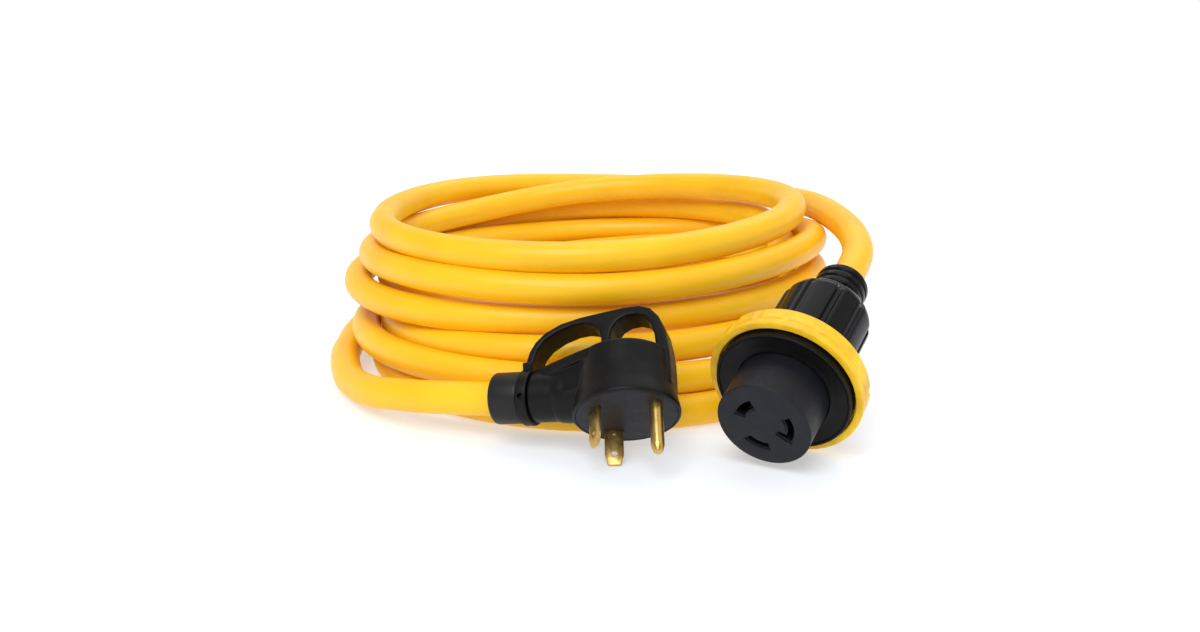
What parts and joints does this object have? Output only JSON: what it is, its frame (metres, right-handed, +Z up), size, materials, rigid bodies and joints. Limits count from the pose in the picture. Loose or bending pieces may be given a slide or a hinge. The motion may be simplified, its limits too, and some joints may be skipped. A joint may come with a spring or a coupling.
{
  "type": "shore power cord",
  "caption": "Heavy outdoor power cord with a pull-handle plug with blades and a ground pin, a coiled yellow cord, and a locking connector with a turning ring and a gripped body.",
  "frame": {"origin": "on the floor, under the middle of the plug and connector's box", "axes": "+Z up from the floor, +X from the plug towards the connector, +Y back towards the coil"},
  "size_m": [0.3238, 0.3948, 0.104],
  "materials": {
    "jacket": "smooth satin yellow vinyl",
    "yellow_plastic": "moulded yellow plastic, satin",
    "black_plastic": "moulded black plastic, semi-gloss",
    "grey_plastic": "satin blue-black moulded face",
    "black_rubber": "matt black rubber",
    "brass": "bright stamped brass",
    "steel": "bright screw steel",
    "black_wire": "satin wire insulation",
    "white_wire": "satin wire insulation",
    "green_wire": "satin wire insulation"
  },
  "bodies": {
    "cord_set": {"cord_coil": "jacket", "cord_lead_plug": "jacket", "cord_lead_connector": "jacket", "plug_housing": "black_plastic", "plug_handle": "black_plastic", "plug_face": "grey_plastic", "plug_collar": "black_plastic", "plug_boot": "black_rubber", "line_blade": "brass", "neutral_blade": "brass", "ground_pin": "brass", "line_crimp": "brass", "neutral_crimp": "brass", "ground_crimp": "brass", "plug_line_wire": "black_wire", "plug_neutral_wire": "white_wire", "plug_ground_wire": "green_wire", "connector_nose": "grey_plastic", "connector_flange": "grey_plastic", "grip_shell": "black_plastic", "threaded_neck": "black_plastic", "gland_nut": "black_plastic", "cord_grommet": "black_rubber", "contact_carrier": "grey_plastic", "line_contact": "brass", "neutral_contact": "brass", "ground_contact": "brass", "line_screw": "steel", "neutral_screw": "steel", "ground_screw": "steel", "connector_line_wire": "black_wire", "connector_neutral_wire": "white_wire", "connector_ground_wire": "green_wire"},
    "ring": {"locking_ring": "yellow_plastic"}
  },
  "joints": [
    {"name": "locking_ring_spin", "type": "hinge", "parent": "cord_set", "child": "ring", "pos_m": [0.04929, -0.01792, 0.03874], "axis": [-0.452, -0.808, -0.378], "continuous": true}
  ]
}
